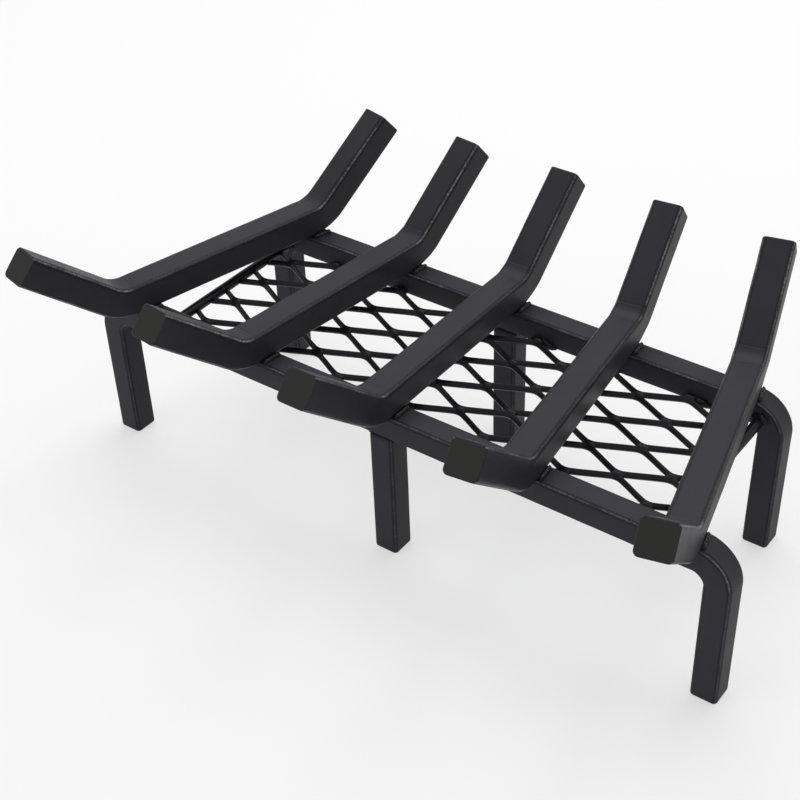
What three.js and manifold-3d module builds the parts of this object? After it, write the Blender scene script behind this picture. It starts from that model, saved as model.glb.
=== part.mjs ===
// Log grate: five bent square bars welded across two bent rails that stand on six legs,
// with a sheet of raised expanded metal between the rails that keeps the embers up.
//
// Millimetres. +X runs along the rails, +Y from the front rail to the rear rail, +Z up.
// The origin is on the floor, in the middle of the grate's overall length and depth.

import * as THREE from "three";
import { mergeVertices } from "three/addons/utils/BufferGeometryUtils.js";
import Module from "manifold-3d";

// Log bars. They fan out, so that the grate is wider in front than at the back. The outer two
// cross each rail at a set distance from its ends, and the others are spaced evenly between them.
const BAR_COUNT = 5;
const BAR_SIDE = 19.05;
const BAR_CORNER_RADIUS = 2.4;
const BAR_BEND_RADIUS = 25;
const OUTER_BAR_FROM_FRONT_RAIL_END = 30;
const OUTER_BAR_FROM_REAR_RAIL_END = 29;
const FRONT_ARM_DEGREES = 41;
const FRONT_ARM_LENGTH = 71.5;
const FRONT_BEND_AHEAD_OF_RAIL = 17.5;
const REAR_ARM_DEGREES = 40;
const REAR_ARM_LENGTH = 73;
const REAR_BEND_BEHIND_RAIL = 7;

// Rails. Each is one square bar, with its two ends bent down into legs.
const RAIL_SIDE = 15.9;
const RAIL_CORNER_RADIUS = 2;
const RAIL_BEND_RADIUS = 19;
const RAIL_TOP_HEIGHT = 100;
const RAIL_SPACING = 124;
const FRONT_RAIL_LENGTH = 428;
const REAR_RAIL_LENGTH = 366;

// Ember mesh, raised expanded metal: slit sheet, pulled open, so that its strands stand tilted.
const DIAMOND_LENGTH = 50.8;
const DIAMOND_WIDTH = 26;
const STRAND_WIDTH = 3;
const STRAND_THICKNESS = 2.3;
const STRAND_TILT_DEGREES = 35;
const BOND_LENGTH = 8;
const MESH_ABOVE_RAIL_UNDERSIDE = 3.8;

// Round rods that close the two ends of the mesh.
const ROD_DIAMETER = 6.35;
const ROD_FROM_REAR_RAIL_END = 15;

// Weld metal.
const BEAD_LENGTH = 14;
const BEAD_LEG = 4.6;
const BEAD_RIPPLES = 4;
const TACK_RADIUS = 3.6;
const ROD_WELD_LEG = 2.6;

// What is welded or seated keeps this much air.
const FIT_GAP = 0.3;

// Facets.
const STEPS_PER_BEND = 6;
const SEGMENTS_PER_CORNER = 4;
const ROD_SIDES = 16;
const STEPS_PER_STRAND_SLOPE = 3;

const STEEL_BLACK = 0x1d1e20;
const WELD_BLACK = 0x232427;

const RAIL_UNDERSIDE = RAIL_TOP_HEIGHT - RAIL_SIDE;
const MESH_HEIGHT = RAIL_UNDERSIDE + MESH_ABOVE_RAIL_UNDERSIDE;

const ROD_SPACING = REAR_RAIL_LENGTH - 2 * ROD_FROM_REAR_RAIL_END;

const FRONT = {
  name: "front",
  y: -RAIL_SPACING / 2,
  length: FRONT_RAIL_LENGTH,
  pitch: (FRONT_RAIL_LENGTH - 2 * OUTER_BAR_FROM_FRONT_RAIL_END) / (BAR_COUNT - 1),
};
const REAR = {
  name: "rear",
  y: RAIL_SPACING / 2,
  length: REAR_RAIL_LENGTH,
  pitch: (REAR_RAIL_LENGTH - 2 * OUTER_BAR_FROM_REAR_RAIL_END) / (BAR_COUNT - 1),
};

const wasm = await Module();
wasm.setup();

function radians(degrees) {
  return THREE.MathUtils.degToRad(degrees);
}

function paintedSteel(color) {
  return new THREE.MeshStandardMaterial({ color, roughness: 0.5, metalness: 0.2 });
}

function piece(name, geometry, color = STEEL_BLACK) {
  const mesh = new THREE.Mesh(geometry, paintedSteel(color));
  mesh.name = name;
  return mesh;
}

// ---- Solids for cutting and joining ----

function solidOf(geometry) {
  const bare = geometry.clone();
  bare.deleteAttribute("normal");
  bare.deleteAttribute("uv");
  const merged = mergeVertices(bare, 1e-4);
  return new wasm.Manifold(
    new wasm.Mesh({
      numProp: 3,
      vertProperties: new Float32Array(merged.attributes.position.array),
      triVerts: new Uint32Array(merged.index.array),
    }),
  );
}

function geometryOf(solid) {
  const mesh = solid.getMesh();
  const geometry = new THREE.BufferGeometry();
  geometry.setAttribute("position", new THREE.BufferAttribute(mesh.vertProperties, 3));
  geometry.setIndex(new THREE.BufferAttribute(mesh.triVerts, 1));
  geometry.computeVertexNormals();
  return geometry;
}

// A box between two corners, as a solid.
function boxSolid(low, high) {
  const box = new THREE.BoxGeometry(high[0] - low[0], high[1] - low[1], high[2] - low[2]);
  box.translate((high[0] + low[0]) / 2, (high[1] + low[1]) / 2, (high[2] + low[2]) / 2);
  return solidOf(box);
}

// ---- Bent square bar ----

// The section of a rolled square bar, with its rounded corners.
function squareSection(side, cornerRadius) {
  const flat = side / 2 - cornerRadius;
  const section = new THREE.Shape();
  section.absarc(flat, flat, cornerRadius, 0, Math.PI / 2);
  section.absarc(-flat, flat, cornerRadius, Math.PI / 2, Math.PI);
  section.absarc(-flat, -flat, cornerRadius, Math.PI, 1.5 * Math.PI);
  section.absarc(flat, -flat, cornerRadius, 1.5 * Math.PI, 2 * Math.PI);
  section.closePath();
  return section;
}

// The middle line of a bar that is bent at the inner points of a polyline. It has a station at
// each end and at even steps round each bend, and none along the straight runs.
class BentLine extends THREE.Curve {
  constructor(corners, bendRadius) {
    super();
    this.stations = [{ point: corners[0], tangent: directionTo(corners[0], corners[1]) }];
    for (let i = 1; i < corners.length - 1; i++) {
      this.addBend(corners[i - 1], corners[i], corners[i + 1], bendRadius);
    }
    const last = corners.length - 1;
    this.stations.push({ point: corners[last], tangent: directionTo(corners[last - 1], corners[last]) });
  }

  addBend(before, corner, after, bendRadius) {
    const inward = directionTo(before, corner);
    const outward = directionTo(corner, after);
    const turn = inward.angleTo(outward);
    const start = corner.clone().addScaledVector(inward, -bendRadius * Math.tan(turn / 2));
    const axis = inward.clone().cross(outward).normalize();
    const centre = start.clone().addScaledVector(axis.clone().cross(inward), bendRadius);
    for (let step = 0; step <= STEPS_PER_BEND; step++) {
      const angle = (turn * step) / STEPS_PER_BEND;
      const point = start.clone().sub(centre).applyAxisAngle(axis, angle).add(centre);
      this.stations.push({ point, tangent: inward.clone().applyAxisAngle(axis, angle) });
    }
  }

  // Steps go from station to station, not by equal lengths.
  getUtoTmapping(u) {
    return u;
  }

  stationAt(t) {
    return this.stations[Math.round(t * (this.stations.length - 1))];
  }

  getPoint(t, target = new THREE.Vector3()) {
    return target.copy(this.stationAt(t).point);
  }

  getTangent(t, target = new THREE.Vector3()) {
    return target.copy(this.stationAt(t).tangent);
  }
}

function directionTo(from, to) {
  return to.clone().sub(from).normalize();
}

function bentBar(corners, side, cornerRadius, bendRadius) {
  const line = new BentLine(corners, bendRadius);
  return new THREE.ExtrudeGeometry(squareSection(side, cornerRadius), {
    steps: line.stations.length - 1,
    curveSegments: SEGMENTS_PER_CORNER / 2,
    extrudePath: line,
  });
}

// ---- Rails and legs ----

// A rail's shape from foot to foot, with some more on all sides of its section.
function railShape(rail, extra) {
  const legX = rail.length / 2 - RAIL_SIDE / 2;
  const middleHeight = RAIL_TOP_HEIGHT - RAIL_SIDE / 2;
  const corners = [
    new THREE.Vector3(-legX, 0, 0),
    new THREE.Vector3(-legX, 0, middleHeight),
    new THREE.Vector3(legX, 0, middleHeight),
    new THREE.Vector3(legX, 0, 0),
  ];
  return bentBar(corners, RAIL_SIDE + 2 * extra, RAIL_CORNER_RADIUS + extra, RAIL_BEND_RADIUS);
}

function railWithEndLegs(rail) {
  const mesh = piece(`${rail.name}_rail`, railShape(rail, 0));
  mesh.position.y = rail.y;
  return mesh;
}

function middleLeg(rail) {
  const leg = new THREE.ExtrudeGeometry(squareSection(RAIL_SIDE, RAIL_CORNER_RADIUS), {
    depth: RAIL_UNDERSIDE - FIT_GAP,
    bevelEnabled: false,
    curveSegments: SEGMENTS_PER_CORNER / 2,
  });
  const mesh = piece(`${rail.name}_middle_leg`, leg);
  mesh.position.y = rail.y;
  return mesh;
}

// ---- Log bars ----

// Where a bar's middle line crosses a rail.
function crossingX(index, rail) {
  return (index - (BAR_COUNT - 1) / 2) * rail.pitch;
}

// How far a bar is turned from square to the rails.
function fanAngle(index) {
  return Math.atan2(crossingX(index, FRONT) - crossingX(index, REAR), RAIL_SPACING);
}

// The bar lies in the YZ plane of its own group, with the front rail's crossing at Y = 0.
function logBar(index) {
  const flatLength = RAIL_SPACING / Math.cos(fanAngle(index));
  const frontBend = new THREE.Vector3(0, -FRONT_BEND_AHEAD_OF_RAIL, 0);
  const rearBend = new THREE.Vector3(0, flatLength + REAR_BEND_BEHIND_RAIL, 0);
  const frontAngle = radians(FRONT_ARM_DEGREES);
  const rearAngle = radians(REAR_ARM_DEGREES);
  const frontArm = new THREE.Vector3(0, -Math.cos(frontAngle), Math.sin(frontAngle));
  const rearArm = new THREE.Vector3(0, Math.cos(rearAngle), Math.sin(rearAngle));
  const corners = [
    frontBend.clone().addScaledVector(frontArm, FRONT_ARM_LENGTH),
    frontBend,
    rearBend,
    rearBend.clone().addScaledVector(rearArm, REAR_ARM_LENGTH),
  ];
  const mesh = piece(`log_bar_${index + 1}`, bentBar(corners, BAR_SIDE, BAR_CORNER_RADIUS, BAR_BEND_RADIUS));
  mesh.position.set(crossingX(index, FRONT), FRONT.y, RAIL_TOP_HEIGHT + FIT_GAP + BAR_SIDE / 2);
  mesh.rotation.z = fanAngle(index);
  return mesh;
}

// ---- Ember mesh ----

const meshEndX = ROD_SPACING / 2 - ROD_DIAMETER / 2 - FIT_GAP;
const meshEdgeY = RAIL_SPACING / 2 - RAIL_SIDE / 2 - FIT_GAP;
const halfDiamondLength = (2 * meshEndX) / (2 * Math.round(meshEndX / (DIAMOND_LENGTH / 2) - 0.5) + 1);
const strandRows = 2 * Math.round((2 * meshEdgeY) / DIAMOND_WIDTH);
const rowPitch = (2 * meshEdgeY) / strandRows;

// A bond is where two strands of the sheet were never slit apart. Bonds lie on row lines, and
// each second column of a row line has one. The middle column has them on the odd row lines.
function isBond(rowLine, column) {
  return Math.abs(rowLine + column) % 2 === 1;
}

// The middle of a strand where it runs along one of the two row lines beside it: just above the
// bond's middle on the line before it, and just below it on the line after it.
function strandAtBond(row, column) {
  const bondsInFront = isBond(row, column);
  const rowLine = bondsInFront ? row : row + 1;
  const side = bondsInFront ? 1 : -1;
  const tilt = radians(STRAND_TILT_DEGREES);
  const fromBond = STRAND_WIDTH / 2 - FIT_GAP;
  return {
    y: -meshEdgeY + rowLine * rowPitch + side * fromBond * Math.cos(tilt),
    z: side * fromBond * Math.sin(tilt),
  };
}

// The four corners of a strand's section, tilted up toward the back.
function strandSection(x, y, z) {
  const tilt = radians(STRAND_TILT_DEGREES);
  const across = new THREE.Vector3(0, Math.cos(tilt), Math.sin(tilt)).multiplyScalar(STRAND_WIDTH / 2);
  const through = new THREE.Vector3(0, -Math.sin(tilt), Math.cos(tilt)).multiplyScalar(STRAND_THICKNESS / 2);
  const middle = new THREE.Vector3(x, y, z);
  return [
    middle.clone().sub(across).sub(through),
    middle.clone().add(across).sub(through),
    middle.clone().add(across).add(through),
    middle.clone().sub(across).add(through),
  ];
}

// A closed skin over a row of sections that follow each other along +X.
function skinOver(sections) {
  const sides = sections[0].length;
  const positions = sections.flat().flatMap((corner) => corner.toArray());
  const faces = [];
  for (let s = 0; s < sections.length - 1; s++) {
    for (let k = 0; k < sides; k++) {
      const a = s * sides + k;
      const b = s * sides + ((k + 1) % sides);
      faces.push(a, b, b + sides, a, b + sides, a + sides);
    }
  }
  const last = (sections.length - 1) * sides;
  for (let k = 1; k < sides - 1; k++) {
    faces.push(0, k + 1, k);
    faces.push(last, last + k, last + k + 1);
  }
  const geometry = new THREE.BufferGeometry();
  geometry.setAttribute("position", new THREE.Float32BufferAttribute(positions, 3));
  geometry.setIndex(faces);
  return geometry;
}

// One strand zigzags the whole length of the sheet, straight along each bond and in a soft S
// from each bond to the next.
function strand(row) {
  const columns = Math.ceil(meshEndX / halfDiamondLength);
  const sections = [];
  for (let column = -columns; column < columns; column++) {
    const here = strandAtBond(row, column);
    const next = strandAtBond(row, column + 1);
    const x = column * halfDiamondLength;
    sections.push(strandSection(x - BOND_LENGTH / 2, here.y, here.z));
    for (let step = 0; step < STEPS_PER_STRAND_SLOPE; step++) {
      const part = step / STEPS_PER_STRAND_SLOPE;
      const ease = (part + THREE.MathUtils.smoothstep(part, 0, 1)) / 2;
      const along = BOND_LENGTH / 2 + part * (halfDiamondLength - BOND_LENGTH);
      sections.push(strandSection(
        x + along,
        THREE.MathUtils.lerp(here.y, next.y, ease),
        THREE.MathUtils.lerp(here.z, next.z, ease),
      ));
    }
  }
  return solidOf(skinOver(sections));
}

function emberMesh() {
  let sheet = strand(0);
  for (let row = 1; row < strandRows; row++) {
    sheet = sheet.add(strand(row));
  }
  const bed = boxSolid([-meshEndX, -meshEdgeY, -RAIL_SIDE], [meshEndX, meshEdgeY, RAIL_SIDE]);
  const mesh = piece("ember_mesh", geometryOf(sheet.intersect(bed)));
  mesh.position.z = MESH_HEIGHT;
  return mesh;
}

function endRod(name, side) {
  const length = RAIL_SPACING - RAIL_SIDE - 2 * FIT_GAP;
  const mesh = piece(name, new THREE.CylinderGeometry(ROD_DIAMETER / 2, ROD_DIAMETER / 2, length, ROD_SIDES));
  mesh.position.set((side * ROD_SPACING) / 2, 0, MESH_HEIGHT);
  return mesh;
}

// ---- Welds ----

// A row of overlapping ripples of weld metal along Y, beside a face at X = 0.
function weldRipples() {
  const pitch = BEAD_LENGTH / (BEAD_RIPPLES + 1);
  let ripples = null;
  for (let i = 0; i < BEAD_RIPPLES; i++) {
    const ripple = new THREE.SphereGeometry(1, 12, 6);
    ripple.scale(BEAD_LEG, pitch, BEAD_LEG);
    ripple.translate(0, (i - (BEAD_RIPPLES - 1) / 2) * pitch, 0);
    const solid = solidOf(ripple);
    ripples = ripples ? ripples.add(solid) : solid;
  }
  const far = BEAD_LENGTH;
  return ripples.intersect(boxSolid([FIT_GAP, -far, -far], [far, far, far]));
}

const ripples = weldRipples();

// A fillet weld in the corner between a bar's side and the rail. It keeps its gap from the rail
// all along it, so the outermost beads run down onto the rails' bends.
function barBead(index, rail, side) {
  const sideName = side < 0 ? "left" : "right";
  const alongRail = BAR_SIDE / 2 / Math.cos(fanAngle(index));
  const place = new THREE.Matrix4().makeRotationZ(fanAngle(index) + (side < 0 ? Math.PI : 0));
  place.setPosition(crossingX(index, rail) + side * alongRail, 0, RAIL_TOP_HEIGHT);
  const bead = ripples.transform(place.elements).subtract(solidOf(railShape(rail, FIT_GAP)));
  const mesh = piece(`weld_bar_${index + 1}_${rail.name}_${sideName}`, geometryOf(bead), WELD_BLACK);
  mesh.position.y = rail.y;
  return mesh;
}

// The fillet weld in the corner between a middle leg and the rail above it. A turn of half a
// circle about Y or X takes it below the rail, on the leg's left or right.
function legBead(rail, side) {
  const sideName = side < 0 ? "left" : "right";
  const far = BEAD_LENGTH;
  const bead = ripples.intersect(boxSolid([0, -far, FIT_GAP], [far, far, far]));
  const mesh = piece(`weld_${rail.name}_middle_leg_${sideName}`, geometryOf(bead), WELD_BLACK);
  mesh.position.set((side * RAIL_SIDE) / 2, rail.y, RAIL_UNDERSIDE);
  mesh.rotation.set(side < 0 ? 0 : Math.PI, side < 0 ? Math.PI : 0, 0);
  return mesh;
}

// A tack of weld metal on top of a bond at the sheet's edge, against the rail. The rail's inner
// face is at Y = 0 and the bond's middle at Z = 0. Both edges' strands tilt the same way.
function tack(inward) {
  const ball = new THREE.SphereGeometry(TACK_RADIUS, 10, 8);
  const above = new THREE.BoxGeometry(4 * TACK_RADIUS, 8 * TACK_RADIUS, 4 * TACK_RADIUS);
  above.translate(0, 0, 2 * TACK_RADIUS + STRAND_THICKNESS / 2 + FIT_GAP);
  above.rotateX(radians(STRAND_TILT_DEGREES));
  const far = 2 * TACK_RADIUS;
  const low = inward > 0 ? FIT_GAP : -far;
  const high = inward > 0 ? far : -FIT_GAP;
  const clear = boxSolid([-far, low, -far], [far, high, far]);
  return geometryOf(solidOf(ball).intersect(clear).intersect(solidOf(above)));
}

function tacksAlong(rail) {
  const inward = rail === FRONT ? 1 : -1;
  const rowLine = rail === FRONT ? 0 : strandRows;
  const geometry = tack(inward);
  const lastColumn = Math.floor((meshEndX - TACK_RADIUS - ROD_WELD_LEG) / halfDiamondLength);
  const tacks = [];
  for (let column = -lastColumn; column <= lastColumn; column++) {
    if (isBond(rowLine, column)) {
      const mesh = piece(`tack_${rail.name}_${tacks.length + 1}`, geometry, WELD_BLACK);
      mesh.position.set(column * halfDiamondLength, rail.y + (inward * RAIL_SIDE) / 2, MESH_HEIGHT);
      tacks.push(mesh);
    }
  }
  return tacks;
}

// The weld over the top of a rod's end: the upper half of a fillet ring round the rod.
function rodWeld(name, rodSide, rail) {
  const inner = ROD_DIAMETER / 2 + FIT_GAP;
  const profile = [
    new THREE.Vector2(inner, FIT_GAP),
    new THREE.Vector2(inner + ROD_WELD_LEG, FIT_GAP),
    new THREE.Vector2(inner + 0.6 * ROD_WELD_LEG, FIT_GAP + 0.6 * ROD_WELD_LEG),
    new THREE.Vector2(inner, FIT_GAP + ROD_WELD_LEG),
    new THREE.Vector2(inner, FIT_GAP),
  ];
  const ring = new THREE.LatheGeometry(profile, ROD_SIDES);
  const far = ROD_DIAMETER + ROD_WELD_LEG;
  const upper = solidOf(ring).intersect(boxSolid([-far, -far, 0], [far, far, far]));
  const mesh = piece(name, geometryOf(upper), WELD_BLACK);
  const inward = rail === FRONT ? 1 : -1;
  mesh.position.set((rodSide * ROD_SPACING) / 2, rail.y + (inward * RAIL_SIDE) / 2, MESH_HEIGHT);
  mesh.rotation.z = rail === FRONT ? 0 : Math.PI;
  return mesh;
}

// ---- The grate ----

const grate = new THREE.Group();

for (const rail of [FRONT, REAR]) {
  grate.add(railWithEndLegs(rail));
  grate.add(middleLeg(rail));
  grate.add(legBead(rail, -1));
  grate.add(legBead(rail, 1));
  grate.add(...tacksAlong(rail));
  grate.add(rodWeld(`weld_left_rod_${rail.name}`, -1, rail));
  grate.add(rodWeld(`weld_right_rod_${rail.name}`, 1, rail));
}

for (let index = 0; index < BAR_COUNT; index++) {
  grate.add(logBar(index));
  for (const rail of [FRONT, REAR]) {
    grate.add(barBead(index, rail, -1));
    grate.add(barBead(index, rail, 1));
  }
}

grate.add(emberMesh());
grate.add(endRod("left_end_rod", -1));
grate.add(endRod("right_end_rod", 1));

// The arms reach further in front of the rails than behind them, so the rails' middle is moved
// back until the whole grate is centred on the origin.
const reach = new THREE.Box3().setFromObject(grate, true);
grate.position.y = -(reach.min.y + reach.max.y) / 2;

export default grate;
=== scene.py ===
"""Log grate: five bent square bars welded across two bent rails, with an ember mesh between them.

Metres. +X runs along the rails, +Y from the front rail to the rear rail, +Z up from the hearth.
"""

import bpy
import numpy as np
from mathutils import Matrix, Vector


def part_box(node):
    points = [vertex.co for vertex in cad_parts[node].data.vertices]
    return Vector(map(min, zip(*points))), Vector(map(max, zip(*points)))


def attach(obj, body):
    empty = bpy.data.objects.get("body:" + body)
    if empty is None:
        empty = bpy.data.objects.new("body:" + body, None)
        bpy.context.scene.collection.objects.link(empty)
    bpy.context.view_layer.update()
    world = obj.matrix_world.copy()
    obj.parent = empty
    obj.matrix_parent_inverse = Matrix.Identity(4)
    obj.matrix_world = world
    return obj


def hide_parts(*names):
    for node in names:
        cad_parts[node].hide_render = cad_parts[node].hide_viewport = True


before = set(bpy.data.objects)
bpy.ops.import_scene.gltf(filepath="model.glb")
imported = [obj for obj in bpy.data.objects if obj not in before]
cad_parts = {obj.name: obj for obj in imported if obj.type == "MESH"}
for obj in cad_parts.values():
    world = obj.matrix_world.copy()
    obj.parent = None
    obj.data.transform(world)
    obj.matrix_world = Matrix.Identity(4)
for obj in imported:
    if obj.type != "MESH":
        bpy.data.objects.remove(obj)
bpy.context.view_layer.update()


# ---- Camera ----
# The view is from the right and above, with the grate's long side running away to the left. The
# picture was trimmed after it was taken, so the lens is shifted to put the grate where it was.

view_right = (0.8176808, 0.5754226, -0.0169372)
view_down = (0.3446631, -0.512911, -0.7862122)
view_forward = (-0.4610916, 0.637033, -0.6177244)
view_from = (0.411692, -0.577464, 0.603577)
image_side = 800
focal_pixels = 1520.0
lens_axis_pixel = (440, 430)
film_width = 36

camera_data = bpy.data.cameras.new("camera")
camera_data.sensor_width = film_width
camera_data.lens = focal_pixels / image_side * film_width
camera_data.shift_x = (image_side / 2 - lens_axis_pixel[0]) / image_side
camera_data.shift_y = (lens_axis_pixel[1] - image_side / 2) / image_side
camera = bpy.data.objects.new("camera", camera_data)
bpy.context.scene.collection.objects.link(camera)
camera_axes = np.array([view_right, -np.array(view_down), -np.array(view_forward)]).T
camera.matrix_world = Matrix.Translation(view_from) @ Matrix(camera_axes.tolist()).to_4x4()
bpy.context.scene.camera = camera


# ---- Floor and light ----
# A white studio sweep with soft lamps: one high behind the grate, whose sheen lies on the bars'
# tops, a weak one in front to the left and a narrow one to the right for the rounded edges. Room
# and lamps together light a level face at about 1, so that a colour renders as it is written.

bpy.context.scene.view_settings.view_transform = "Standard"

floor_size = 40.0
floor_white = (0.9, 0.9, 0.9, 1)
floor_roughness, floor_specular = 0.8, 0.1


def mesh_object(name, points, faces):
    """A new object with its place in its mesh: faces holds corner numbers, four or three to a row."""
    mesh = bpy.data.meshes.new(name)
    mesh.from_pydata(points.tolist(), [], faces if isinstance(faces, list) else faces.tolist())
    mesh.update()
    made = bpy.data.objects.new(name, mesh)
    bpy.context.scene.collection.objects.link(made)
    return made


half_floor = floor_size / 2
floor_corners = np.array([(-1, -1, 0), (1, -1, 0), (1, 1, 0), (-1, 1, 0)]) * half_floor
floor = mesh_object("floor", floor_corners, [[0, 1, 2, 3]])
floor_finish = bpy.data.materials.new("floor white")
floor_finish.use_nodes = True
floor_shader = floor_finish.node_tree.nodes["Principled BSDF"]
floor_shader.inputs["Base Color"].default_value = floor_white
floor_shader.inputs["Roughness"].default_value = floor_roughness
floor_shader.inputs["Specular IOR Level"].default_value = floor_specular


def seen_directly(tree):
    """1 for rays from the camera, in reflections and through glass, and 0 for rays that light: the
    greatest of Light Path's three values for them."""
    path = tree.nodes.new("ShaderNodeLightPath")
    so_far = path.outputs["Is Camera Ray"]
    for ray in ("Is Glossy Ray", "Is Transmission Ray"):
        either = tree.nodes.new("ShaderNodeMath")
        either.operation = "MAXIMUM"
        tree.links.new(so_far, either.inputs[0])
        tree.links.new(path.outputs[ray], either.inputs[1])
        so_far = either.outputs[0]
    return so_far


# The floor is seen as a mix of its own lit white, which keeps the shadows, and of plain white.
backdrop_share = 0.55
floor_tree = floor_finish.node_tree
backdrop = floor_tree.nodes.new("ShaderNodeEmission")
backdrop.inputs["Color"].default_value = (1, 1, 1, 1)
backdrop.inputs["Strength"].default_value = 1
whitened = floor_tree.nodes.new("ShaderNodeMath")
whitened.operation = "MULTIPLY"
whitened.inputs[1].default_value = backdrop_share
floor_mix = floor_tree.nodes.new("ShaderNodeMixShader")
floor_tree.links.new(seen_directly(floor_tree), whitened.inputs[0])
floor_tree.links.new(whitened.outputs[0], floor_mix.inputs["Fac"])
floor_tree.links.new(floor_shader.outputs[0], floor_mix.inputs[1])
floor_tree.links.new(backdrop.outputs[0], floor_mix.inputs[2])
floor_tree.links.new(floor_mix.outputs[0], floor_tree.nodes["Material Output"].inputs["Surface"])
floor.data.materials.append(floor_finish)


def softbox(name, place, aim, width, height, watts):
    """A rectangular area lamp at place, for even soft light. Its -Z axis runs from place to aim."""
    data = bpy.data.lights.new(name, "AREA")
    data.shape = "RECTANGLE"
    data.size = width
    data.size_y = height
    data.energy = watts
    lamp = bpy.data.objects.new(name, data)
    bpy.context.scene.collection.objects.link(lamp)
    turned = (Vector(aim) - Vector(place)).to_track_quat("-Z", "Y").to_matrix().to_4x4()
    lamp.matrix_world = Matrix.Translation(place) @ turned


grate_middle = (0, 0, 0.08)
softbox("lamp high behind", (-0.3, 0.8, 1.9), grate_middle, 1.9, 1.2, 24)
softbox("lamp front left", (-0.9, -1.6, 0.9), grate_middle, 1.2, 1.0, 4)
softbox("lamp right strip", (1.4, 0.9, 1.3), grate_middle, 0.2, 1.4, 1.5)

surroundings = bpy.data.worlds.new("white surroundings")
surroundings.use_nodes = True
bpy.context.scene.world = surroundings
tree = surroundings.node_tree
tree.nodes.clear()
room_light = 0.53
plain = tree.nodes.new("ShaderNodeBackground")
plain.inputs["Color"].default_value = (1, 1, 1, 1)
plain.inputs["Strength"].default_value = room_light
white = tree.nodes.new("ShaderNodeBackground")
white.inputs["Color"].default_value = (1, 1, 1, 1)
white.inputs["Strength"].default_value = 1
pick = tree.nodes.new("ShaderNodeMixShader")
world_out = tree.nodes.new("ShaderNodeOutputWorld")
tree.links.new(seen_directly(tree), pick.inputs["Fac"])
tree.links.new(plain.outputs[0], pick.inputs[1])
tree.links.new(white.outputs[0], pick.inputs[2])
tree.links.new(pick.outputs[0], world_out.inputs["Surface"])


# ---- Log bars ----
# Five lengths of hot-rolled square bar, each bent up at both ends in a press, and fanned out so
# that the grate is wider in front. Satin black powder coat covers them, sawn ends included.

bar_count = 5
bar_side = 0.01905
bar_corner = 0.003
bar_bend_radius = 0.025
bar_rim = 0.0007
front_pitch, rear_pitch = 0.092, 0.077
front_arm_angle, front_arm_length = np.radians(41), 0.0715
rear_arm_angle, rear_arm_length = np.radians(40), 0.073
front_bend_ahead, rear_bend_behind = 0.0175, 0.007
rail_spacing = 0.124
rail_top = 0.1
fit_gap = 0.0003
front_y = sum((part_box("front_rail")[k].y for k in (0, 1))) / 2
rear_y = sum((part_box("rear_rail")[k].y for k in (0, 1))) / 2


path_step = 0.0001


def bent_path(corners, bend_radius):
    """The middle line of a bar in its own plane. The heading keeps each straight run's direction
    and turns evenly along each arc between two runs, and the points are the running sum of the
    heading. Returns, every tenth of a millimetre, the distance along the line, the point, the
    heading and how far into a bend it is (1 in its middle, 0 outside), and then the distances at
    which bends start or end and the sign of their turn."""
    corners = np.array(corners, float)
    runs = np.diff(corners, axis=0)
    headings = np.unwrap(np.arctan2(runs[:, 1], runs[:, 0]))
    turns = np.diff(headings)
    cuts = bend_radius * np.tan(np.abs(turns) / 2)
    arcs = bend_radius * np.abs(turns)
    straights = np.hypot(*runs.T) - np.append(0, cuts) - np.append(cuts, 0)
    starts = np.cumsum(straights[:-1]) + np.cumsum(np.append(0, arcs))[:-1]
    total = straights.sum() + arcs.sum()
    s = np.linspace(0, total, int(total / path_step))
    part = np.clip((s[:, None] - starts) / arcs, 0, 1)
    heading = headings[0] + part @ turns
    middle = (heading[1:] + heading[:-1]) / 2
    moves = np.diff(s)[:, None] * np.stack([np.cos(middle), np.sin(middle)], 1)
    points = corners[0] + np.concatenate([np.zeros((1, 2)), np.cumsum(moves, 0)])
    bent = np.sum(np.sin(np.pi * part) ** 2, 1)
    return s, points, heading, bent, np.concatenate([starts, starts + arcs]), np.sign(turns.sum())


def square_rim(per_flat, per_corner):
    """One lap round a rounded square. A point is (half side - radius) * middle + radius * outward:
    along a flat the middle slides and outward stays, and round a corner it is the other way."""
    slide = np.linspace(-1, 1, per_flat + 1)[:-1]
    turn = np.linspace(0, np.pi / 2, per_corner + 1)[:-1]
    middle = np.concatenate([np.stack([np.ones(per_flat), slide], 1), np.ones((per_corner, 2))])
    round_corner = np.stack([np.cos(turn), np.sin(turn)], 1)
    outward = np.concatenate([np.tile((1.0, 0.0), (per_flat, 1)), round_corner])
    quarter_turns = [np.linalg.matrix_power([[0, 1], [-1, 0]], k) for k in range(4)]
    return (np.concatenate([middle @ q for q in quarter_turns]),
            np.concatenate([outward @ q for q in quarter_turns]))


def hand_waves(seed, shortest, longest, *where):
    """Slow unevenness from 0 to 1: the mean of eight sine waves in random directions, with lengths
    between shortest and longest, over the given coordinates."""
    rng = np.random.default_rng(seed)
    total = 0
    for _ in range(8):
        waves = rng.normal(size=len(where))
        waves *= 2 * np.pi / rng.uniform(shortest, longest) / np.linalg.norm(waves)
        total = total + np.sin(sum(w * x for w, x in zip(waves, where)) + rng.uniform(0, 2 * np.pi))
    return 0.5 + total / 16


def tube_faces(rings, around, first_point=0):
    """Quads between neighbouring rings of a tube, and fans from its first and last ring to one
    point each, which follow the rings in the list of points."""
    k = np.arange(rings - 1)[:, None] * around
    u = np.arange(around)
    v = (u + 1) % around
    first, top = rings * around, (rings - 1) * around
    sides = np.stack([k + u, k + around + u, k + around + v, k + v], -1).reshape(-1, 4)
    start_cap = np.stack([np.full(around, first), u, v], 1)
    end_cap = np.stack([np.full(around, first + 1), top + v, top + u], 1)
    return [row for block in (sides, start_cap, end_cap) for row in (block + first_point).tolist()]


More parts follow.
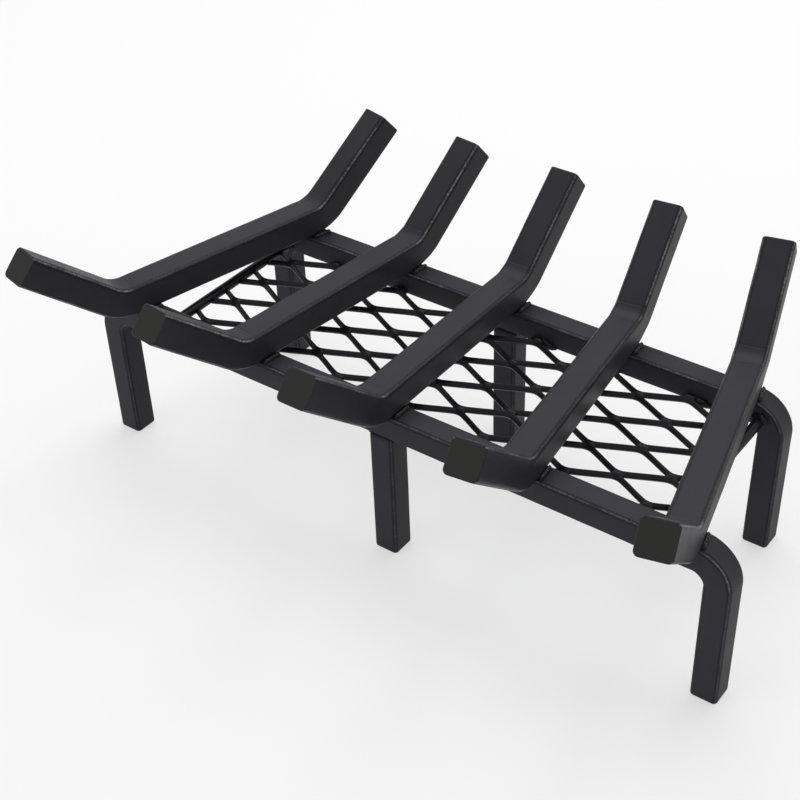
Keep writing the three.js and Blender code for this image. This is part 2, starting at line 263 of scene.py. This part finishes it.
def smooth_tube(name, rings, ends):
    """A closed piece from rings of points along it, joined by quads, and the two points that close
    its ends with fans."""
    points = np.concatenate([rings.reshape(-1, 3), ends])
    piece = mesh_object(name, points, tube_faces(len(rings), rings.shape[1]))
    piece.data.polygons.foreach_set("use_smooth", np.ones(len(piece.data.polygons), bool))
    return piece


def point_values(piece, name, values):
    """A number for each point of the piece, for its material to read."""
    layer = piece.data.attributes.new(name, "FLOAT", "POINT")
    layer.data.foreach_set("value", np.asarray(values, np.float32).ravel())


station_step = 0.0022
swell, draw_in = 0.035, 0.0006
dent_depth, dent_width = 0.00016, 0.0006
unevenness, shortest_wave, longest_wave = 0.00016, 0.012, 0.06
cap_rings = (0.3, 0.7, 0.97)
cut_from = 0.7
# How strongly edges are rubbed lighter and carry a painted highlight, by the bar's heading: less on the
# level run and on upright ends.
rub_and_highlight_turns, upright_wear_and_highlight = (0, 0.3, 1.2, 1.5), 0.3


def bent_square_bar(name, corners, side, corner, bend_radius, rim_radius, place, seed, level_wear_and_highlight):
    """A rounded square carried along a bent path. Each end is a flat saw cut with a round rim. In a
    bend the inner face swells sideways and the outer one draws in, the press leaves a faint dent
    across the inner face where a bend starts, and all faces are a little uneven. The last argument
    sets how strongly the edges of the level run are rubbed lighter and carry a painted highlight,
    beside those of the arms. place turns points of the bar's plane and their distances across it
    into X, Y and Z. Three values go with each point, for the coat: edge, 1 in the middle of a rounded
    corner; a second value, how strongly the edges are rubbed lighter and carry a painted highlight;
    and cut, 1 on the sawn ends."""
    s, points, heading, bent, marks, sign = bent_path(corners, bend_radius)
    rim_turn = np.linspace(0, np.pi / 2, 5)
    rim_step, rim_inset = rim_radius * (1 - np.cos(rim_turn)), rim_radius * (1 - np.sin(rim_turn))
    cap_share = np.array(cap_rings)
    run = np.linspace(2 * rim_radius, s[-1] - 2 * rim_radius, int(s[-1] / station_step))
    near_marks = (marks[:, None] + dent_width * np.linspace(-3, 3, 13)).ravel()
    run = np.unique(np.concatenate([run, near_marks]))
    along = np.concatenate([0 * cap_share, rim_step, run, s[-1] - rim_step[::-1], 0 * cap_share + s[-1]])
    inset = np.concatenate([0 * cap_share + rim_radius, rim_inset, 0 * run])
    inset = np.concatenate([inset, rim_inset[::-1], 0 * cap_share + rim_radius])[:, None]
    share = np.concatenate([cap_share, 0 * rim_step + 1, 0 * run + 1, 0 * rim_step + 1, cap_share[::-1]])
    share = share[:, None]
    centre = np.stack([np.interp(along, s, points[:, k]) for k in (0, 1)], 1)
    turned = np.interp(along, s, heading)
    normal = np.stack([-np.sin(turned), np.cos(turned)], 1)
    bend = np.interp(along, s, bent)[:, None]
    near_mark = np.exp(-((along[:, None] - marks) / dent_width) ** 2).sum(1)[:, None]

    middle, outward = square_rim(8, 8)
    radius = corner - inset
    across = ((side / 2 - inset - radius) * middle[:, 0] + radius * outward[:, 0]) * share
    height = ((side / 2 - inset - radius) * middle[:, 1] + radius * outward[:, 1]) * share
    inner = height / (side / 2) * sign
    outer_face = np.clip(-inner, 0, 1) ** 6 * (1 - np.clip(np.abs(across) / (side / 2), 0, 1) ** 2)
    uneven = unevenness * hand_waves(seed, shortest_wave, longest_wave,
                                     along[:, None] + 0 * across, across, height)
    inner_face = np.clip(outward[:, 1] * sign, 0, 1) ** 4
    dent = dent_depth * near_mark * inner_face
    sink = (uneven + dent) * (share == 1)
    across = across * (1 + swell * bend * inner) - sink * outward[:, 0]
    height = height + sign * draw_in * bend * outer_face - sink * outward[:, 1]
    flat = centre[:, None, :] + height[..., None] * normal[:, None, :]
    rings = np.concatenate([flat, across[..., None]], 2)
    ends = np.array([[*centre[0], 0], [*centre[-1], 0]])
    piece = smooth_tube(name, place(rings.reshape(-1, 3)).reshape(rings.shape), place(ends))
    edge = (2 * outward[:, 0] * outward[:, 1]) ** 2 * (share == 1)
    rub_and_highlight = np.interp(np.abs(turned), rub_and_highlight_turns, [level_wear_and_highlight, 1, 1, upright_wear_and_highlight])[:, None] + 0 * edge
    cut = (inset > cut_from * rim_radius) + 0 * across
    point_values(piece, "edge", np.append(edge.ravel(), [0, 0]))
    point_values(piece, "rub_and_highlight", np.append(rub_and_highlight.ravel(), [0, 0]))
    point_values(piece, "cut", np.append(cut.ravel(), [1, 1]))
    return piece


# How deep the painted shade on both shoulders of each rounded corner is.
painted_shoulder_shade = 1.9


def coat_group():
    """Powder coat as a node group. Fine grains of powder and a slower orange peel make its height,
    and thicker and thinner coat shifts its colour and roughness. Edge is 1 in the middle of a
    rounded corner and 0 on flats: the colour is darkened on both shoulders of the corner, where edge
    times (1 - edge) is highest, as painted shade, and made lighter in broken dashes along its middle,
    partly rubbed through and partly painted highlight."""
    group = bpy.data.node_groups.new("powder coat", "ShaderNodeTree")
    for name, kind in (("Colour", "NodeSocketColor"), ("Worn And Highlight Colour", "NodeSocketColor"),
                       ("Edge", "NodeSocketFloat"), ("Wear And Highlight", "NodeSocketFloat"),
                       ("Roughness", "NodeSocketFloat"), ("Grain Size", "NodeSocketFloat")):
        group.interface.new_socket(name, in_out="INPUT", socket_type=kind)
    for name, kind in (("Colour", "NodeSocketColor"), ("Roughness", "NodeSocketFloat"),
                       ("Height", "NodeSocketFloat")):
        group.interface.new_socket(name, in_out="OUTPUT", socket_type=kind)
    nodes, links = group.nodes, group.links
    given = nodes.new("NodeGroupInput")
    result = nodes.new("NodeGroupOutput")
    where = nodes.new("ShaderNodeTexCoord")

    def noise(scale, detail, scaled_by_grain=False):
        """Noise over Object coordinates, with its scale divided by Grain Size if that is asked."""
        made = nodes.new("ShaderNodeTexNoise")
        made.inputs["Scale"].default_value = scale
        made.inputs["Detail"].default_value = detail
        links.new(where.outputs["Object"], made.inputs["Vector"])
        if scaled_by_grain:
            size = nodes.new("ShaderNodeMath")
            size.operation = "DIVIDE"
            size.inputs[0].default_value = scale
            links.new(given.outputs["Grain Size"], size.inputs[1])
            links.new(size.outputs[0], made.inputs["Scale"])
        return made

    def math(operation, first, second):
        """One operation on two numbers or sockets."""
        made = nodes.new("ShaderNodeMath")
        made.operation = operation
        for socket, value in zip(made.inputs, (first, second)):
            if isinstance(value, (int, float)):
                socket.default_value = value
            else:
                links.new(value, socket)
        return made.outputs[0]

    def spread(value, low, high, to_low, to_high):
        """The value carried evenly from low..high to to_low..to_high, and held at their ends."""
        made = nodes.new("ShaderNodeMapRange")
        for name, number in (("From Min", low), ("From Max", high),
                             ("To Min", to_low), ("To Max", to_high)):
            made.inputs[name].default_value = number
        links.new(value, made.inputs["Value"])
        return made.outputs["Result"]

    grain = noise(2600, 2, True).outputs["Fac"]
    peel = noise(520, 2, True).outputs["Fac"]
    cloud = noise(38, 3).outputs["Fac"]
    scuff = noise(60, 3).outputs["Fac"]
    grit = noise(700, 3).outputs["Fac"]

    height = math("ADD", math("MULTIPLY", grain, 0.35), math("MULTIPLY", peel, 0.65))
    rough = math("ADD", given.outputs["Roughness"], spread(cloud, 0.3, 0.7, -0.05, 0.06))
    rough = math("ADD", rough, spread(grain, 0.3, 0.7, -0.05, 0.05))

    edge = given.outputs["Edge"]
    # Painted shade: the colour darkens on both shoulders of each rounded corner, where edge times (1 -
    # edge) is highest.
    painted_shade_mask = math("MULTIPLY", edge, math("SUBTRACT", 1, edge))
    painted_shade_factor = math("SUBTRACT", 1, math("MULTIPLY", painted_shade_mask, painted_shoulder_shade))
    # Lighter broken dashes along the corner's middle, partly rubbed through and partly painted
    # highlight.
    wear_and_highlight_mask = math("MULTIPLY", spread(edge, 0.7, 1, 0, 1), spread(grit, 0.42, 0.58, 0.25, 1))
    wear_and_highlight_mask = math("MULTIPLY", wear_and_highlight_mask, spread(scuff, 0.35, 0.6, 0.15, 1))
    wear_and_highlight_mask = math("MULTIPLY", wear_and_highlight_mask, given.outputs["Wear And Highlight"])
    shade = math("MULTIPLY", spread(cloud, 0.25, 0.75, 0.86, 1.16), painted_shade_factor)
    tone = nodes.new("ShaderNodeMix")
    tone.data_type = "RGBA"
    tone.blend_type = "MULTIPLY"
    tone.inputs["Factor"].default_value = 1
    links.new(given.outputs["Colour"], tone.inputs["A"])
    links.new(shade, tone.inputs["B"])
    mixed = nodes.new("ShaderNodeMix")
    mixed.data_type = "RGBA"
    links.new(wear_and_highlight_mask, mixed.inputs["Factor"])
    links.new(tone.outputs["Result"], mixed.inputs["A"])
    links.new(given.outputs["Worn And Highlight Colour"], mixed.inputs["B"])
    links.new(mixed.outputs["Result"], result.inputs["Colour"])
    links.new(rough, result.inputs["Roughness"])
    links.new(height, result.inputs["Height"])
    return group


powder_coat = coat_group()


sawn_colour, sawn_roughness = (0.029, 0.03, 0.027, 1), 0.7
# The colour of the lighter dashes along edges, partly rubbed-through coat and partly painted highlight.
worn_and_highlight_colour = (0.36, 0.36, 0.37, 1)
bump_strength = 0.5


def coated(name, colour, roughness, wear_and_highlight_amount, grain_size, bump_height, specular):
    """A material of powder coat over steel, with lighter dashes along the edges given by the piece's
    point values, partly rubbed through and partly painted highlight. Where its cut values are 1, the
    coat lies thin and dull over a sawn end."""
    finish = bpy.data.materials.new(name)
    finish.use_nodes = True
    nodes, links = finish.node_tree.nodes, finish.node_tree.links
    shader = nodes["Principled BSDF"]
    coat = nodes.new("ShaderNodeGroup")
    coat.node_tree = powder_coat
    coat.inputs["Colour"].default_value = (*colour, 1)
    coat.inputs["Worn And Highlight Colour"].default_value = worn_and_highlight_colour
    coat.inputs["Roughness"].default_value = roughness
    coat.inputs["Grain Size"].default_value = grain_size
    edge = nodes.new("ShaderNodeAttribute")
    edge.attribute_name = "edge"
    rub_and_highlight = nodes.new("ShaderNodeAttribute")
    rub_and_highlight.attribute_name = "rub_and_highlight"
    # How strongly this piece's edges are rubbed lighter and carry a painted highlight.
    wear_and_highlight_mask = nodes.new("ShaderNodeMath")
    wear_and_highlight_mask.operation = "MULTIPLY"
    wear_and_highlight_mask.inputs[1].default_value = wear_and_highlight_amount
    shader.inputs["Specular IOR Level"].default_value = specular
    bump = nodes.new("ShaderNodeBump")
    bump.inputs["Strength"].default_value = bump_strength
    bump.inputs["Distance"].default_value = bump_height
    cut = nodes.new("ShaderNodeAttribute")
    cut.attribute_name = "cut"
    sawn = nodes.new("ShaderNodeMix")
    sawn.data_type = "RGBA"
    sawn.inputs["B"].default_value = sawn_colour
    dull = nodes.new("ShaderNodeMix")
    dull.inputs["B"].default_value = sawn_roughness
    links.new(edge.outputs["Fac"], coat.inputs["Edge"])
    links.new(rub_and_highlight.outputs["Fac"], wear_and_highlight_mask.inputs[0])
    links.new(wear_and_highlight_mask.outputs[0], coat.inputs["Wear And Highlight"])
    links.new(coat.outputs["Height"], bump.inputs["Height"])
    links.new(cut.outputs["Fac"], sawn.inputs["Factor"])
    links.new(cut.outputs["Fac"], dull.inputs["Factor"])
    links.new(coat.outputs["Colour"], sawn.inputs["A"])
    links.new(coat.outputs["Roughness"], dull.inputs["A"])
    links.new(sawn.outputs["Result"], shader.inputs["Base Color"])
    links.new(dull.outputs["Result"], shader.inputs["Roughness"])
    links.new(bump.outputs["Normal"], shader.inputs["Normal"])
    return finish


bar_finish = coated("bar powder coat", (0.0245, 0.024, 0.031), 0.44, 0.6, 1.0, 0.00014, 0.12)
# The edges of the bars' level runs get a quarter of the arms' rubbing and painted highlight.
bar_seed, bar_level_wear_and_highlight = 11, 0.25

half_middle = (bar_count - 1) / 2
for index in range(bar_count):
    front_x = (index - half_middle) * front_pitch
    rear_x = (index - half_middle) * rear_pitch
    fan = np.arctan2(front_x - rear_x, rail_spacing)
    flat_length = rail_spacing / np.cos(fan)
    bar_corners = [
        (-front_bend_ahead - front_arm_length * np.cos(front_arm_angle),
         front_arm_length * np.sin(front_arm_angle)),
        (-front_bend_ahead, 0),
        (flat_length + rear_bend_behind, 0),
        (flat_length + rear_bend_behind + rear_arm_length * np.cos(rear_arm_angle),
         rear_arm_length * np.sin(rear_arm_angle)),
    ]

    def across_rails(flat, fan=fan, front_x=front_x):
        """The bar's plane stands upright on the rails, turned by the bar's fan angle."""
        along, up, across = flat.T
        x = front_x + across * np.cos(fan) - along * np.sin(fan)
        y = front_y + across * np.sin(fan) + along * np.cos(fan)
        return np.stack([x, y, rail_top + fit_gap + bar_side / 2 + up], 1)

    bar = bent_square_bar(f"bar_{index + 1}", bar_corners, bar_side, bar_corner, bar_bend_radius,
                          bar_rim, across_rails, bar_seed + index, bar_level_wear_and_highlight)
    bar.data.materials.append(bar_finish)
    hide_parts(f"log_bar_{index + 1}")
    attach(bar, "root")


# ---- Rails and legs ----
# Two lighter square bars, each with its two ends bent down into legs, and under the middle of each
# rail a third leg sawn from the same bar. The rear rail is shorter than the front one.

rail_side = 0.0159
rail_corner = 0.0025
rail_bend_radius = 0.0145
rail_rim = 0.0014
rail_lengths = {"front": 0.428, "rear": 0.366}
rail_middles = {"front": front_y, "rear": rear_y}
# The rails' colour is the bars' black coat made lighter, as painted light on the legs' faces.
rail_coat_with_painted_light = coated("rail powder coat with painted light", (0.029, 0.0285, 0.037), 0.5, 0.5, 1.0, 0.00015, 0.12)
rail_seed, leg_seed, rail_level_wear_and_highlight = 31, 41, 0.8

for seed, (end, length) in enumerate(rail_lengths.items()):

    def along_rail(flat, y=rail_middles[end]):
        """The rail's plane stands upright on the floor, square to the grate's depth."""
        along, up, across = flat.T
        return np.stack([along, y - across, up], 1)

    leg_x, middle_height = length / 2 - rail_side / 2, rail_top - rail_side / 2
    rail_corners = [(-leg_x, 0), (-leg_x, middle_height), (leg_x, middle_height), (leg_x, 0)]
    rail = bent_square_bar(f"{end}_rail_coated", rail_corners, rail_side, rail_corner,
                           rail_bend_radius, rail_rim, along_rail, rail_seed + seed, rail_level_wear_and_highlight)
    leg_corners = [(0, 0), (0, rail_top - rail_side - fit_gap)]
    leg = bent_square_bar(f"{end}_middle_leg_coated", leg_corners, rail_side, rail_corner,
                          rail_bend_radius, rail_rim, along_rail, leg_seed + seed, rail_level_wear_and_highlight)
    for made, node in ((rail, f"{end}_rail"), (leg, f"{end}_middle_leg")):
        made.data.materials.append(rail_coat_with_painted_light)
        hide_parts(node)
        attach(made, "root")


# ---- Ember mesh ----
# One sheet of raised expanded metal: slit, then pulled open, so that its strands zigzag between
# tilted bonds where they were never slit apart. Dipped thick in the same black, it is glossier.

mesh_over_underside = 0.0038
mesh_height = rail_top - rail_side + mesh_over_underside
rod_diameter, rod_spacing = 0.00635, 0.336
mesh_end = rod_spacing / 2 - rod_diameter / 2 - fit_gap
mesh_edge = rail_spacing / 2 - rail_side / 2 - fit_gap
mesh_middle_y = (front_y + rear_y) / 2
mesh_laid_forward = 0.0025
strand_width, strand_thickness, strand_corner = 0.0036, 0.0027, 0.0007
strand_tilt = np.radians(35)
strand_rows = 8
bond_length = 0.003
half_diamonds, stations_per_half = 13, 12
half_diamond = 2 * mesh_end / half_diamonds
bond_columns = range(-6, 7)
row_pitch = 2 * mesh_edge / strand_rows
from_bond = 0.00115
straight_share, smooth_share = 0.85, 0.15
strand_thinning, strand_seed = 0.05, 60
tilted_across = np.array([0, np.cos(strand_tilt), np.sin(strand_tilt)])
tilted_through = np.array([0, -np.sin(strand_tilt), np.cos(strand_tilt)])
mesh_finish = coated("mesh powder coat", (0.011, 0.011, 0.0135), 0.26, 0.2, 1.3, 0.0003, 0.12)


def strand_rings(row, x):
    """Rings of a strand at the given x. Its share of the way from its front row line to its rear
    one is 0 or 1 within half a bond of each column, and between columns nearly a straight line,
    with a little of a smooth step. The section is a rounded oblong, tilted up toward the back."""
    column = np.floor(x / half_diamond)
    part = np.clip((x - column * half_diamond - bond_length / 2) / (half_diamond - bond_length), 0, 1)
    ease = straight_share * part + smooth_share * part * part * (3 - 2 * part)
    here, there = (row + column + 1) % 2, (row + column) % 2
    share = here + (there - here) * ease
    beside = (1 - 2 * share) * from_bond
    line_y = -mesh_edge - mesh_laid_forward + (row + share) * row_pitch
    centre = np.stack([x, mesh_middle_y + line_y, 0 * x + mesh_height], 1)
    centre = centre + beside[:, None] * tilted_across
    middle, outward = square_rim(1, 4)
    half = np.array([strand_width, strand_thickness]) / 2 - strand_corner
    section = half * middle + strand_corner * outward
    thinner = 1 - strand_thinning * hand_waves(strand_seed + row, 0.01, 0.05, x)[:, None]
    offset = section @ np.stack([tilted_across, tilted_through])
    rings = centre[:, None, :] + thinner[..., None] * offset
    rings[..., 1] = mesh_middle_y + np.clip(rings[..., 1] - mesh_middle_y, -mesh_edge, mesh_edge)
    return rings[:, ::-1]


knuckle_reach, knuckle_half_width, knuckle_half_height = 0.0042, 0.0028, 0.00155
knuckle_taper, knuckle_roundness = 0.6, 0.8


def knuckle_rings(row_line, column):
    """Rings of the swollen coat over a bond: a long rounded pad, whose half width and half height
    follow the cosine of the way along it to a low power. Each ring is an oval, with the cosine and
    sine of its lap to a power below 1."""
    lean = np.linspace(-np.pi / 2, np.pi / 2, 13)[1:-1]
    lap = np.linspace(0, 2 * np.pi, 13)[:-1]
    x = column * half_diamond + knuckle_reach * np.sin(lean)
    full = np.cos(lean)[:, None] ** knuckle_taper
    wide = knuckle_half_width * full * np.sign(np.cos(lap)) * np.abs(np.cos(lap)) ** knuckle_roundness
    thick = knuckle_half_height * full * np.sign(np.sin(lap)) * np.abs(np.sin(lap)) ** knuckle_roundness
    rings = wide[..., None] * tilted_across + thick[..., None] * tilted_through
    rings[..., 0] += x[:, None]
    rings[..., 1] += -mesh_edge - mesh_laid_forward + row_line * row_pitch
    rings[..., 1] = mesh_middle_y + np.clip(rings[..., 1], -mesh_edge, mesh_edge)
    rings[..., 2] += mesh_height
    rings[..., 0] = np.clip(rings[..., 0], -mesh_end, mesh_end)
    return rings[:, ::-1]


# The bonds of line 0 lie past the sheet's trimmed front edge, so no swelling is made over them.
strand_x = np.linspace(-mesh_end, mesh_end, half_diamonds * stations_per_half + 1)
mesh_tubes = [strand_rings(row, strand_x) for row in range(strand_rows)]
mesh_tubes += [knuckle_rings(line, column) for line in range(1, strand_rows + 1)
               for column in bond_columns if (line + column) % 2]
mesh_points, mesh_faces, so_far = [], [], 0
for rings in mesh_tubes:
    mesh_points += [rings.reshape(-1, 3), rings[[0, -1]].mean(1)]
    mesh_faces += tube_faces(len(rings), rings.shape[1], so_far)
    so_far += rings.shape[0] * rings.shape[1] + 2
ember_mesh = mesh_object("ember_mesh_coated", np.concatenate(mesh_points), mesh_faces)
ember_mesh.data.polygons.foreach_set("use_smooth", np.ones(len(mesh_faces), bool))
ember_mesh.data.materials.append(mesh_finish)
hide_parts("ember_mesh")
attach(ember_mesh, "root")


# ---- End rods ----
# A round steel rod lies across each end of the mesh, between the rails, and holds the cut strand
# ends. It is sawn to length, welded to both rails and coated along with the mesh. Its rings are
# circles along Y, drawn in over a quarter turn at each end.

rod_length = rail_spacing - rail_side - 2 * fit_gap
rod_rim_radius, rod_stations, rod_end_margin = 0.0004, 50, 0.001
rod_unevenness, rod_seed = 0.00008, 71
lap = np.linspace(0, 2 * np.pi, 33)[:-1]
rod_rim = np.linspace(0, np.pi / 2, 5)
rim_step, rim_inset = rod_rim_radius * (1 - np.cos(rod_rim)), rod_rim_radius * (1 - np.sin(rod_rim))
for seed, (end, x) in enumerate((("left", -rod_spacing / 2), ("right", rod_spacing / 2))):
    run = np.linspace(rod_end_margin, rod_length - rod_end_margin, rod_stations)
    along = np.concatenate([rim_step, run, rod_length - rim_step[::-1]])
    inset = np.concatenate([rim_inset, np.zeros(rod_stations), rim_inset[::-1]])
    uneven = rod_unevenness * hand_waves(rod_seed + seed, 0.01, 0.04, along[:, None] + 0 * lap,
                                         0.003 * np.cos(lap) + 0 * along[:, None])
    radius = rod_diameter / 2 - inset[:, None] - uneven
    y = mesh_middle_y - rod_length / 2 + along[:, None] + 0 * lap
    rings = np.stack([x + radius * np.cos(lap), y, mesh_height + radius * np.sin(lap)], 2)
    rod = smooth_tube(f"{end}_end_rod_coated", rings, rings[[0, -1]].mean(1))
    rod.data.materials.append(mesh_finish)
    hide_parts(f"{end}_end_rod")
    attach(rod, "root")


# ---- Fillet welds ----
# Short rippled beads join each bar to each rail on both sides, and each rail to its middle leg.
# The coat covers them, so they are black and lumpy, with a gloss on their ripples. Their colour
# is darker than the bars' coat, as painted shade of the crevices they sit in.

bead_leg = 0.0023
bead_ripples = 4
bead_pitch = 0.0026
bead_stations, bead_dip, bead_lumps = 43, -0.6, 0.16
weld_contact = 0.00005
# The welds' colour is darker than the bars' coat, as painted shade of the crevices between parts.
weld_coat_with_painted_shade = coated("weld powder coat with painted shade", (0.012, 0.012, 0.015), 0.26, 0.2, 1.2, 0.0004, 0.14)


def bead_rings(seed, surface):
    """Rings of a fillet bead along Y, beside a face at X = 0. Its radius is that of a row of
    overlapping round ripples, less a little random lumpiness. It goes from just below the level
    of the other face up to the upright one, and stops where surface(x) says that the other face
    is. A point in the corner closes each ring."""
    y = np.linspace(-1, 1, bead_stations)[1:-1, None] * (bead_ripples + 1) / 2 * bead_pitch
    ripple_y = (np.arange(bead_ripples) - (bead_ripples - 1) / 2) * bead_pitch
    near = np.clip(1 - ((y - ripple_y) / bead_pitch) ** 2, 0, 1)
    lap = np.linspace(bead_dip, np.pi / 2, 15)
    reach = bead_leg * np.sqrt(near.max(1))[:, None]
    lumps = hand_waves(seed, 0.002, 0.007, y + 0 * lap, 0.004 * lap + 0 * y)
    reach = reach * (1 - bead_lumps * lumps)
    x = np.maximum(reach * np.cos(lap), weld_contact)
    x = np.append(x, np.full((len(y), 1), weld_contact), 1)
    z = np.append(reach * np.sin(lap), np.full((len(y), 1), -bead_leg), 1)
    z = np.maximum(z, surface(x) + weld_contact)
    return np.stack([x, y + 0 * x, z], 2)


def weld(name, node, rings):
    """A weld from its rings, over its CAD node."""
    made = smooth_tube(name, rings, rings[[0, -1]].mean(1))
    made.data.materials.append(weld_coat_with_painted_shade)
    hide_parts(node)
    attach(made, "root")


for index in range(bar_count):
    front_x, rear_x = ((index - half_middle) * pitch for pitch in (front_pitch, rear_pitch))
    fan = np.arctan2(front_x - rear_x, rail_spacing)
    for end, crossing_x in (("front", front_x), ("rear", rear_x)):
        for side, side_name in ((-1, "left"), (1, "right")):

            def rail_surface(x):
                """The rail's top, level up to where it bends down into its end leg, and from there
                the outside circle of the bend."""
                from_middle = np.abs(crossing_x + side * (bar_side / 2 / np.cos(fan) + x))
                bend_outside = rail_bend_radius + rail_side / 2
                past = np.maximum(from_middle - (rail_lengths[end] / 2 - bend_outside), 0)
                return np.sqrt(bend_outside**2 - past**2) - bend_outside

            rings = bead_rings(100 + 10 * index + 4 * (end == "rear") + side, rail_surface)
            x, y, z = np.moveaxis(rings, 2, 0)
            x, y = side * x, side * y
            bead_x = crossing_x + side * bar_side / 2 / np.cos(fan) + x * np.cos(fan) - y * np.sin(fan)
            bead_y = rail_middles[end] + x * np.sin(fan) + y * np.cos(fan)
            placed = np.stack([bead_x, bead_y, rail_top + z], 2)
            weld(f"bead_bar_{index + 1}_{end}_{side_name}",
                 f"weld_bar_{index + 1}_{end}_{side_name}", placed)

for end, y_middle in rail_middles.items():
    for side, side_name in ((-1, "left"), (1, "right")):
        x, y, z = np.moveaxis(bead_rings(160 + side + 2 * (end == "rear"), np.zeros_like), 2, 0)
        placed = np.stack([side * (rail_side / 2 + x), y_middle + y, rail_top - rail_side - z], 2)
        if side > 0:
            placed = placed[:, ::-1]
        weld(f"bead_{end}_leg_{side_name}", f"weld_{end}_middle_leg_{side_name}", placed)


# ---- Tack welds ----
# Drops of weld metal hold every bond along the mesh's two long edges to the rails' inner faces.
# Each is a lumpy ball, drawn out along the rail where the welder dragged it, and coated black.

tack_radius = 0.0034
tack_size, tack_lumps, tack_drag = 1.15, 0.5, 0.6
tack_columns = [column for column in bond_columns if column % 2]
tack_stretches = {"front": (1.2, 1, 1.5, 1.1, 1, 1.3), "rear": (1.5, 1.3, 1.1, 2.8, 1.3, 3)}
tack_sag = 0.0016
for end, inward in (("front", 1), ("rear", -1)):
    face_y = rail_middles[end] + inward * rail_side / 2
    for number, column in enumerate(tack_columns, 1):
        lean = np.linspace(-np.pi / 2, np.pi / 2, 17)[1:-1, None]
        turn = np.linspace(0, 2 * np.pi, 25)[None, :-1]
        x, y = np.cos(lean) * np.cos(turn), np.cos(lean) * np.sin(turn)
        z = np.sin(lean) + 0 * turn
        stretch = tack_stretches[end][number - 1]
        lumps = hand_waves(200 + 10 * number + inward, 0.5, 1.4, stretch * x, y, z)
        radius = tack_radius * (tack_size - tack_lumps * lumps)
        x = column * half_diamond + stretch * radius * x + tack_drag * (stretch - 1) * tack_radius
        y = face_y + inward * np.maximum(inward * radius * y, weld_contact)
        placed = np.stack([x, y, mesh_height - tack_sag + radius * z], 2)[:, ::-1]
        weld(f"drop_{end}_{number}", f"tack_{end}_{number}", placed)


# ---- Rod welds ----
# A half ring of weld over the top of each rod's end joins it to the rail's inner face. Its section
# is a quarter circle in the corner between rod and rail, a little lumpy and coated black.

rod_weld_leg, rod_weld_lumps = 0.0026, 0.2
ring_stations = 25
for end, inward in (("front", 1), ("rear", -1)):
    for side, side_name in ((-1, "left"), (1, "right")):
        half_lap = np.linspace(0, np.pi, ring_stations)[:, None]
        quarter = np.linspace(0, np.pi / 2, 9)
        lumps = hand_waves(300 + side + 2 * inward, 0.002, 0.006,
                           0.004 * half_lap + 0 * quarter, 0.003 * quarter + 0 * half_lap)
        grow = 1 - rod_weld_lumps * lumps
        outward = rod_diameter / 2 + rod_weld_leg * np.cos(quarter) * grow
        inboard = np.maximum(rod_weld_leg * np.sin(quarter) * grow, weld_contact)
        outward = np.append(outward, np.full((ring_stations, 1), rod_diameter / 2 + weld_contact), 1)
        inboard = np.append(inboard, np.full((ring_stations, 1), weld_contact), 1)
        x = side * rod_spacing / 2 + outward * np.cos(half_lap)
        y = rail_middles[end] + inward * (rail_side / 2 + inboard)
        placed = np.stack([x, y, mesh_height + outward * np.sin(half_lap)], 2)
        if inward > 0:
            placed = placed[:, ::-1]
        weld(f"collar_{side_name}_{end}", f"weld_{side_name}_rod_{end}", placed)
